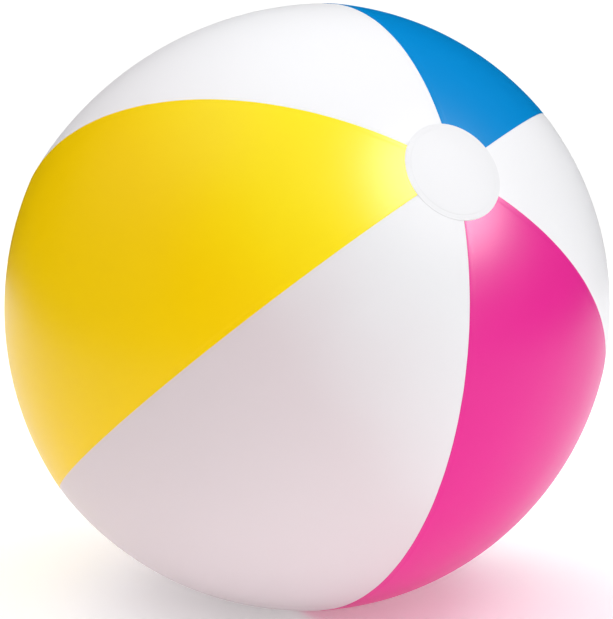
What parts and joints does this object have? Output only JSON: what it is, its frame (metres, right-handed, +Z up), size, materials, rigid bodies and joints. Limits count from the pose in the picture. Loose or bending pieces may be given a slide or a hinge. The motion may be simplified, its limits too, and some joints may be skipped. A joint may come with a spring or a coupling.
{
  "type": "inflatable beach ball",
  "caption": "Inflated beach ball of coloured and white film gores welded between round end caps, with a push-in mouth valve closed by a tethered stopper.",
  "frame": {"origin": "on the floor, under the middle of the ball's box; the ball rests on the pressed-flat spot of its skin round it", "axes": "+Z up; -Y is the side that the ball is seen from, +X to the right of that view; the pole axis leans, with the plain cap up and forward and the valve cap down and back"},
  "size_m": [0.3986, 0.4044, 0.401],
  "materials": {
    "white_film": "glossy soft vinyl film",
    "blue_film": "glossy soft vinyl film",
    "yellow_film": "glossy soft vinyl film",
    "pink_film": "glossy soft vinyl film",
    "cap_film": "glossy soft vinyl film",
    "valve_vinyl": "soft moulded vinyl, satin, slightly translucent"
  },
  "bodies": {
    "ball": {"gore_white_right": "white_film", "gore_blue": "blue_film", "gore_white_top": "white_film", "gore_yellow": "yellow_film", "gore_white_bottom": "white_film", "gore_pink": "pink_film", "cap_plain": "cap_film", "cap_valve": "cap_film", "valve_flange": "valve_vinyl", "valve_web": "valve_vinyl"},
    "valve": {"valve_stem": "valve_vinyl"},
    "stopper": {"stopper": "valve_vinyl", "stopper_strap": "valve_vinyl"},
    "flap": {"check_flap": "valve_vinyl"}
  },
  "joints": [
    {"name": "valve_pop", "type": "slide", "parent": "ball", "child": "valve", "axis": [-0.4356, 0.7054, -0.5592], "range_m": [0, 0.014], "deforming": ["valve_web"]},
    {"name": "stopper_swing", "type": "hinge", "parent": "valve", "child": "stopper", "pos_m": [-0.08943, 0.14186, 0.07773], "axis": [-0.8803, -0.4636, 0.101], "range_deg": [0, 150]},
    {"name": "flap_open", "type": "hinge", "parent": "valve", "child": "flap", "pos_m": [-0.08412, 0.13611, 0.09764], "axis": [-0.8803, -0.4636, 0.101], "range_deg": [0, 60], "stiffness_Nm_per_rad": 0.00002, "springref_deg": -17.19}
  ]
}
